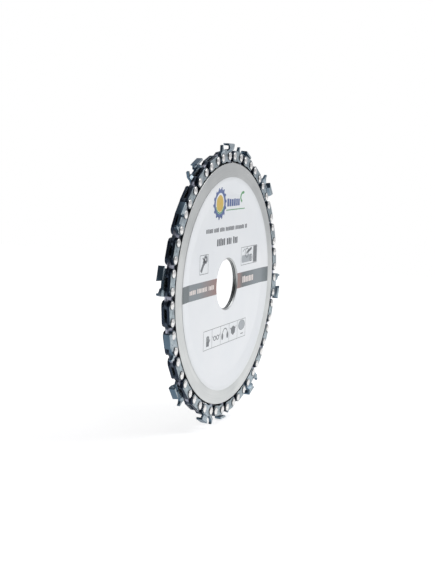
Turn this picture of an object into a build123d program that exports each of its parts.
"""Carving disc for an angle grinder: a closed saw chain held in the rim groove of a dished steel disc.

Frame, in millimetres: +Z up, the disc's axis along Y, the origin at the centre of the bore, halfway
through the disc. The front, labelled face looks towards -Y. Places along the chain are angles about
the axis from +X towards +Z: anticlockwise as seen from the front, which is the way it cuts.

The disc is two plates back to back. They meet round the bore, and a shallow slope in each parts them
at the rim, which leaves the groove for the chain. A chain piece is drawn once, at angle 0: there the
radius is +X and the way of travel is +Z.
"""
from build123d import *
from math import asin, cos, degrees, pi, radians, sin, sqrt, tan
import os

# ---- driving dimensions ------------------------------------------------------------------------
# disc
bore_d = 22.23
bore_chamfer = 0.5
seam_chamfer = 0.12        # at the bore, where the two plates meet
plate_t = 1.15
rim_chamfer = 0.15         # broken outer edge of each plate
dish_width = 6.0           # radial width of the slope between the hub and the rim
dish_bend_r = 12.0         # of the bends at both ends of the slope
label_margin = 6.2         # bare steel between the label and the rim
label_t = 0.12
label_bore_gap = 0.15      # from the bore's chamfer to the label's hole
plate_rivet_count = 6
plate_rivet_d = 5.0
plate_rivet_inset = 6.4    # from the foot of the slope to the rivets' centres
plate_rivet_play = 0.03    # gap around each plate rivet

# chain
link_count = 28            # strap places round the chain, with a drive link between each two
chain_pitch = 6.35         # half the distance over three rivets, along the straight chain
pitch_offset = 0.85        # straps are longer than the pitch by this, drive links are shorter
first_place_angle = 96.3   # centre of the first strap place, where a front cutter sits
cutter_every = 2           # cutters on every second place, front and back in turn
drive_t = 1.3
strap_t = 1.2
groove_play = 0.05         # gap between a drive link and each plate
rim_gap = 0.6              # gap between the straps and the plates' rim
tang_room = 3.7            # flat groove wall below the drive tangs, down to the slope

# rivets of the chain
hub_d = 2.7                # turns in the drive link
shank_d = 2.1              # held in the straps
hub_play = 0.04
shank_play = 0.02
head_d = 3.7
head_edge_t = 0.2
head_dome_t = 0.58

# drive links, from the line through their two rivets
drive_lobe_r = 2.3
drive_waist = 4.0          # height between the two lobes
tang_depth = 6.4
tang_rake = 0.7            # the tang's tip starts behind the link's middle by this
tang_tip_w = 1.8
tang_hook = 1.3            # the tang's hook rises by this from the tip to the front rivet's line
tang_throat = 3.5          # the hollow above the hook lies this far from the tip
tang_hollow = 0.55         # and behind the front rivet's line by this

# straps, from the line through their two rivets
strap_rise = 2.35          # outwards
strap_depth = 2.3          # inwards
strap_overhang = 2.05      # beyond each rivet
strap_foot = 0.4           # the straight inner edge ends beyond each rivet by this
strap_arch = 0.28          # height of the hollow between the two feet
strap_arch_w = 3.2
strap_corner_r = 0.4

# cutters
gullet_rise = 3.2          # floor of the gullet, from the line through the rivets
gauge_rise = 5.75          # tip of the depth gauge
gauge_root = 2.9           # the gauge starts this far ahead of the strap's middle
gauge_lead = 0.85          # its tip stands ahead of the front rivet by this
gauge_tip_w = 0.85
gauge_hollow = 0.15        # its back curves in behind the tip by this
gauge_set = 0.65           # the gauge is bent out beyond the strap's face by this
gauge_front = 0.05         # its front swells beyond the strap's end by this
tooth_rise = 5.98
tooth_t = 0.92             # thickness of the folded tooth
tooth_set = 1.12           # how far the tooth stands out beyond the strap's face
top_plate_reach = 2.9      # how far the top plate folds in across the chain
fold_r = 0.5               # outside of the fold
joggle_r = 0.35            # bends of the joggle
joggle_rise = 1.0          # radial height of the joggle
joggle_lag = 0.2           # the joggle starts nearer the rivets on its outer side by this
joggle_gap = 0.15          # from the rear rivet's head to the joggle
tooth_lead = 0.25          # the tooth's outer corner lies behind the middle of the strap by this
tooth_overhang = 3.0       # the tooth ends behind the rear rivet by this
tooth_clearance = 8.0      # degrees that the top of the tooth falls towards its heel
filing_angle = 8.0         # degrees that the cutting edge is swept back from the outer corner
hook_depth = 1.35          # hollow of the face under the cutting edge

# ---- derived sizes -------------------------------------------------------------------------------
strap_pitch = chain_pitch + pitch_offset
drive_pitch = chain_pitch - pitch_offset
half_strap = strap_pitch / 2
half_drive = drive_pitch / 2
place_step = 360 / link_count
# the circle through all rivets, closed by link_count straps and as many drive links
chord_over_both = sqrt(strap_pitch**2 + drive_pitch**2 + 2 * strap_pitch * drive_pitch * cos(pi / link_count))
rivet_circle_r = chord_over_both / (2 * sin(pi / link_count))
strap_half_angle = degrees(asin(half_strap / rivet_circle_r))
strap_line_r = rivet_circle_r * cos(radians(strap_half_angle))
drive_line_r = sqrt(rivet_circle_r**2 - half_drive**2)

groove_side = drive_t / 2 + groove_play         # the plates' inner faces at the rim, from the middle
plate_face = groove_side + plate_t              # the plates' outer faces at the rim
plate_r = strap_line_r - strap_depth - rim_gap
tang_tip_r = drive_line_r - tang_depth
dish_top_r = tang_tip_r - tang_room
dish_foot_r = dish_top_r - dish_width
plate_rivet_circle_r = dish_foot_r - plate_rivet_inset
label_r = plate_r - label_margin
label_hole_r = bore_d / 2 + bore_chamfer + label_bore_gap

strap_inner_face = drive_t / 2
strap_outer_face = strap_inner_face + strap_t
strap_end = half_strap + strap_overhang
tooth_outer_face = strap_outer_face + tooth_set
tooth_inner_face = tooth_outer_face - tooth_t
tooth_heel = half_strap + tooth_overhang
fall = radians(tooth_clearance)
sweep_back = radians(filing_angle)

strap_angles = [first_place_angle + place_step * place for place in range(link_count)]
drive_angles = [angle + place_step / 2 for angle in strap_angles]
rivet_angles = [angle + side * strap_half_angle for angle in strap_angles for side in (-1, 1)]
cutter_places = range(0, link_count, cutter_every)
front_cutter_angles = [strap_angles[place] for place in cutter_places[0::2]]
back_cutter_angles = [strap_angles[place] for place in cutter_places[1::2]]
front_strap_angles = [angle for angle in strap_angles if angle not in front_cutter_angles]
back_strap_angles = [angle for angle in strap_angles if angle not in back_cutter_angles]


def save(piece, name):
    """Label a finished piece and write it as the node of that name."""
    piece.part.label = name
    export_step(piece.part, f"parts/{name}.step")


def side_plane(distance, radius=0.0):
    """A sketch plane seen from the front, at a distance in front of the middle: x radial, y the travel."""
    return Plane((radius, -distance, 0), x_dir=(1, 0, 0), z_dir=(0, -1, 0))


def around(angles, radius=0.0):
    """Places on a side plane, turned so that their local x is radial."""
    return [Location((radius * cos(radians(a)), radius * sin(radians(a)), 0), (0, 0, a)) for a in angles]


def dished_section(near, far):
    """Section of a sheet that follows the dish, between two distances in front of the plates' seam."""
    with BuildSketch(Plane.XY) as section:
        with BuildLine():
            near_line, far_line = [
                FilletPolyline(
                    (bore_d / 2, -distance),
                    (dish_foot_r, -distance),
                    (dish_top_r, -distance - groove_side),
                    (plate_r, -distance - groove_side),
                    radius=dish_bend_r,
                )
                for distance in (near, far)
            ]
            Line(near_line @ 0, far_line @ 0)
            Line(near_line @ 1, far_line @ 1)
        make_face()
    return section.sketch


os.makedirs("parts", exist_ok=True)

# ---- disc ------------------------------------------------------------------------------------------
with BuildPart() as front_plate:
    with BuildSketch(Plane.XY) as plate_section:
        add(dished_section(0, plate_t))
        chamfer(plate_section.vertices().group_by(Axis.X)[0].sort_by(Axis.Y)[0], bore_chamfer)
        chamfer(plate_section.vertices().group_by(Axis.X)[0].sort_by(Axis.Y)[-1], seam_chamfer)
        chamfer(plate_section.vertices().group_by(Axis.X)[-1].sort_by(Axis.Y)[0], rim_chamfer)
    revolve(axis=Axis.Y)
    with BuildSketch(side_plane(0)):
        with PolarLocations(plate_rivet_circle_r, plate_rivet_count):
            Circle(plate_rivet_d / 2 + plate_rivet_play)
    extrude(amount=plate_t, mode=Mode.SUBTRACT)
save(front_plate, "front_plate")

with BuildPart() as back_plate:
    add(mirror(front_plate.part, about=Plane.XZ, mode=Mode.PRIVATE))
save(back_plate, "back_plate")

with BuildPart() as plate_rivets:
    with BuildSketch(side_plane(0)):
        with PolarLocations(plate_rivet_circle_r, plate_rivet_count):
            Circle(plate_rivet_d / 2)
    extrude(amount=plate_t, both=True)
save(plate_rivets, "plate_rivets")

with BuildPart() as front_label:
    with BuildSketch(Plane.XY):
        add(dished_section(plate_t, plate_t + label_t))
        with Locations(((label_hole_r + label_r) / 2, 0)):
            Rectangle(label_r - label_hole_r, 4 * plate_face, mode=Mode.INTERSECT)
    revolve(axis=Axis.Y)
save(front_label, "front_label")

# ---- drive links -----------------------------------------------------------------------------------
lobe_side = 0.9 * drive_lobe_r     # where the tang's flanks run into the lobes
with BuildPart() as drive_link:
    with BuildSketch(side_plane(0)):
        with Locations((drive_line_r, -half_drive), (drive_line_r, half_drive)):
            Circle(drive_lobe_r)
        with Locations((drive_line_r, 0)):
            Rectangle(drive_waist, drive_pitch)
        with BuildLine():
            Polyline(
                (drive_line_r, -half_drive - lobe_side),
                (tang_tip_r, -tang_rake),
                (tang_tip_r, tang_tip_w - tang_rake),
                (tang_tip_r + tang_hook, half_drive),
                (tang_tip_r + tang_throat, half_drive - tang_hollow),
                (drive_line_r, half_drive + lobe_side),
                close=True,
            )
        make_face()
        with Locations((drive_line_r, -half_drive), (drive_line_r, half_drive)):
            Circle(hub_d / 2 + hub_play, mode=Mode.SUBTRACT)
    extrude(amount=drive_t / 2, both=True)

for number, angle in enumerate(drive_angles, start=1):
    with BuildPart() as placed_link:
        add(drive_link.part, rotation=(0, -angle, 0))
    save(placed_link, f"drive_link_{number:02d}")

# ---- tie straps ------------------------------------------------------------------------------------
end_shoulder = (0.15 * strap_rise, strap_end)                      # the strap's widest point
end_swell = (-0.45 * strap_depth, strap_end - 0.15 * strap_overhang)   # on the arc down to its foot

with BuildSketch() as rivet_holes:
    with Locations((0, -half_strap), (0, half_strap)):
        Circle(shank_d / 2 + shank_play)

with BuildSketch() as strap_outline:
    with BuildLine():
        foot_arch = ThreePointArc(
            (-strap_depth, -strap_arch_w / 2), (-strap_depth + strap_arch, 0), (-strap_depth, strap_arch_w / 2)
        )
        foot = Line(foot_arch @ 1, (-strap_depth, half_strap + strap_foot))
        ThreePointArc(foot @ 1, end_swell, end_shoulder)
        Polyline(end_shoulder, (strap_rise, half_strap), (strap_rise, 0))
        mirror(about=Plane.XZ)
    make_face()
    fillet(strap_outline.vertices().group_by(Axis.X)[-1], strap_corner_r)
    add(rivet_holes.sketch, mode=Mode.SUBTRACT)


def strap_group(angles, start):
    """Tie straps at the given angles, from the start distance in front of the middle outwards."""
    with BuildPart() as straps:
        with BuildSketch(side_plane(start)):
            with Locations(*around(angles, strap_line_r)):
                add(strap_outline.sketch)
        extrude(amount=strap_t)
    return straps


front_tie_straps = strap_group(front_strap_angles, strap_inner_face)
save(front_tie_straps, "front_tie_straps")
back_tie_straps = strap_group(back_strap_angles, -strap_outer_face)
save(back_tie_straps, "back_tie_straps")

# ---- cutters ---------------------------------------------------------------------------------------
# The side body: a strap with a raised gullet floor.
tooth_root = 0.6 * strap_rise                      # inside the body
gullet_back = (gullet_rise, -0.6 * half_strap)     # hidden under the tooth, like the heel's side
heel_side = (tooth_root, -0.9 * half_strap)

with BuildSketch() as cutter_outline:
    add(make_face(strap_outline.sketch.face().outer_wire(), mode=Mode.PRIVATE))
    with BuildLine():
        Polyline(gullet_back, (gullet_rise, gauge_root), (tooth_root, half_strap), (0, 0), heel_side, close=True)
    make_face()

# The depth gauge: a horn at the front end, bent out above the front rivet's head.
bend_start = head_d / 2 + joggle_gap
gauge_tip = half_strap + gauge_lead
gauge_heel = gauge_root - 0.5                      # inside the body
profile_top = tooth_rise + 0.1                     # above the highest point of gauge and tooth
sheet_start = strap_end + 1.0                      # ahead of the gauge

with BuildPart() as gauge:
    with BuildSketch(Plane((strap_line_r, 0, sheet_start), x_dir=(1, 0, 0), z_dir=(0, 0, -1))) as gauge_section:
        with BuildLine():
            Polyline(
                (0, strap_inner_face),
                (bend_start + joggle_lag, strap_inner_face),
                (gullet_rise + joggle_lag, strap_inner_face + gauge_set),
                (profile_top, strap_inner_face + gauge_set),
                (profile_top, strap_outer_face + gauge_set),
                (gullet_rise, strap_outer_face + gauge_set),
                (bend_start, strap_outer_face),
                (0, strap_outer_face),
                close=True,
            )
        make_face()
        fillet(
            gauge_section.vertices().filter_by_position(Axis.X, bend_start - 0.05, gullet_rise + joggle_lag + 0.05),
            joggle_r,
        )
    extrude(amount=sheet_start)
    with BuildSketch(side_plane(tooth_outer_face, strap_line_r)):
        with BuildLine():
            horn_back = ThreePointArc(
                (gullet_rise, gauge_root),
                (gullet_rise + 0.35 * (gauge_rise - gullet_rise), gauge_tip - gauge_hollow),
                (gauge_rise, gauge_tip),
            )
            horn_tip = Line(horn_back @ 1, (gauge_rise - 0.1, gauge_tip + gauge_tip_w))
            ThreePointArc(horn_tip @ 1, (0.55 * gauge_rise, strap_end + gauge_front), end_shoulder)
            Polyline(
                end_shoulder,
                (0, half_strap),
                (0, gauge_heel),
                (gullet_rise - 0.3, gauge_heel),
                horn_back @ 0,
            )
        make_face()
    extrude(amount=tooth_outer_face, dir=(0, 1, 0), mode=Mode.INTERSECT)

# The tooth: the side plate joggles out from the body, clear of the rear rivet's head under the falling
# top, then folds over the chain as the top plate.
drop_at_rivet = (half_strap - tooth_lead) * tan(fall)
joggle_start = head_d / 2 + joggle_gap + drop_at_rivet
joggle_end = joggle_start + joggle_rise
top_plate_edge = tooth_outer_face - top_plate_reach
profile_root = tooth_root - 0.5            # below the tooth's lowest corner
tooth_travel = tooth_heel - tooth_lead

with BuildPart() as tooth:
    with BuildSketch(Plane((strap_line_r, 0, -tooth_lead), x_dir=(1, 0, 0), z_dir=(0, 0, -1))) as tooth_section:
        with BuildLine():
            Polyline(
                (tooth_root, strap_inner_face),
                (joggle_start + joggle_lag, strap_inner_face),
                (joggle_end + joggle_lag, tooth_inner_face),
                (tooth_rise - tooth_t, tooth_inner_face),
                (tooth_rise - tooth_t, top_plate_edge),
                (tooth_rise, top_plate_edge),
                (tooth_rise, tooth_outer_face),
                (joggle_end, tooth_outer_face),
                (joggle_start, strap_outer_face),
                (tooth_root, strap_outer_face),
                close=True,
            )
        make_face()
        fillet(tooth_section.vertices().group_by(Axis.X)[-1].sort_by(Axis.Y)[-1], fold_r)
        fillet(
            tooth_section.vertices().filter_by_position(Axis.X, joggle_start - 0.05, joggle_end + joggle_lag + 0.05),
            joggle_r,
        )
    extrude(amount=tooth_travel / cos(fall), dir=(-sin(fall), 0, -cos(fall)))
    with BuildSketch(side_plane(tooth_outer_face, strap_line_r)):
        with BuildLine():
            cutting_tip = (profile_top, -tooth_lead)
            bevel = Line(cutting_tip, (tooth_rise - tooth_t, -tooth_lead - 0.5))
            hook = ThreePointArc(
                bevel @ 1, (gullet_rise + 0.9, -tooth_lead - hook_depth), (gullet_rise, -tooth_lead - 0.6)
            )
            Polyline(
                hook @ 1,
                (profile_root, -tooth_lead),
                (profile_root, -strap_end + 0.6),
                (strap_rise, -strap_end + 0.2),
                (tooth_rise - 1.6, -tooth_heel),
                (profile_top, -tooth_heel - 2 * tooth_t),
                cutting_tip,
            )
        make_face()
    extrude(
        amount=(top_plate_reach + tooth_t) / cos(sweep_back),
        dir=(0, cos(sweep_back), -sin(sweep_back)),
        mode=Mode.INTERSECT,
    )

with BuildPart() as front_cutter:
    with BuildSketch(side_plane(strap_inner_face, strap_line_r)):
        add(cutter_outline.sketch)
    extrude(amount=strap_t)
    add(gauge.part)
    add(tooth.part)
    with BuildSketch(side_plane(strap_inner_face, strap_line_r)):
        add(rivet_holes.sketch)
    extrude(amount=strap_t, mode=Mode.SUBTRACT)

with BuildPart() as back_cutter:
    add(mirror(front_cutter.part, about=Plane.XZ, mode=Mode.PRIVATE))

for side, cutter, angles in (
    ("front", front_cutter, front_cutter_angles),
    ("back", back_cutter, back_cutter_angles),
):
    for number, angle in enumerate(angles, start=1):
        with BuildPart() as placed_cutter:
            add(cutter.part, rotation=(0, -angle, 0))
        save(placed_cutter, f"{side}_cutter_{number}")

# ---- rivets of the chain -----------------------------------------------------------------------------
with BuildPart() as chain_rivet:
    with BuildSketch(Plane.XY):
        with BuildLine():
            dome = ThreePointArc(
                (0, strap_outer_face + head_dome_t),
                (0.6 * head_d / 2, strap_outer_face + 0.4 * head_edge_t + 0.6 * head_dome_t),
                (head_d / 2, strap_outer_face + head_edge_t),
            )
            Polyline(
                dome @ 1,
                (head_d / 2, strap_outer_face),
                (shank_d / 2, strap_outer_face),
                (shank_d / 2, strap_inner_face),
                (hub_d / 2, strap_inner_face),
                (hub_d / 2, 0),
                (0, 0),
                dome @ 0,
            )
        make_face()
    revolve(axis=Axis.Y)
    mirror(about=Plane.XZ)

with BuildPart() as chain_rivets:
    for angle in rivet_angles:
        spoke = radians(angle)
        with Locations((rivet_circle_r * cos(spoke), 0, rivet_circle_r * sin(spoke))):
            add(chain_rivet.part)
save(chain_rivets, "chain_rivets")

overall_r = sqrt((strap_line_r + tooth_rise) ** 2 + tooth_lead**2)
print(f"rivet circle {2 * rivet_circle_r:.2f}, disc {2 * plate_r:.2f} x {2 * plate_face:.2f}, hub {2 * plate_t:.2f}")
print(f"overall {2 * overall_r:.2f} across, kerf {2 * tooth_outer_face:.2f}")
